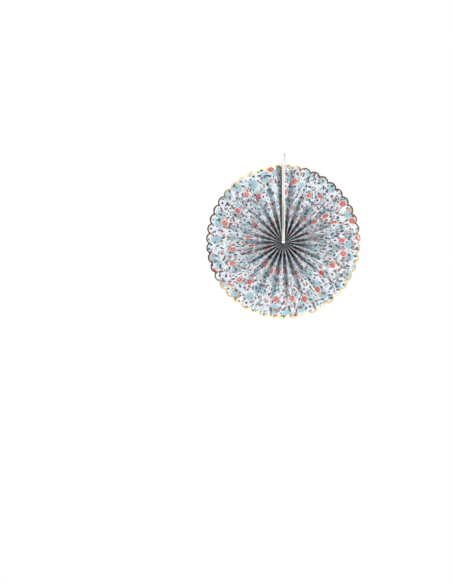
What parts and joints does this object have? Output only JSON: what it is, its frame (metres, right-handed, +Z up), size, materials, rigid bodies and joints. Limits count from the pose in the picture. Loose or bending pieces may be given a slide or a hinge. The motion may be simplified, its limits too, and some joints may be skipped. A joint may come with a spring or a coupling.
{
  "type": "paper fan rosette",
  "caption": "Round hanging decoration of pleated printed paper with a scalloped rim, two stiff end cards taped together and a hanging thread.",
  "frame": {"origin": "centre of the fan, midway between its front and back and between the scallop tips at the top and the bottom", "axes": "+Z up along the taped seam to the hanging thread, -Y towards the viewer of the printed front, +X to that viewer's right"},
  "size_m": [0.2498, 0.0176, 0.2699],
  "materials": {
    "printed_paper": "uncoated paper with a small flower print and a gold foil rim",
    "white_card": "white lined card with a pale cut edge",
    "adhesive_tape": "double-sided tissue tape",
    "cotton_thread": "twisted white thread"
  },
  "bodies": {
    "root": {"pleated_fan": "printed_paper", "left_end_card": "white_card", "right_end_card": "white_card", "seam_tape": "adhesive_tape", "binding_thread": "cotton_thread", "hanging_thread": "cotton_thread", "hanging_knot": "cotton_thread"}
  },
  "joints": []
}
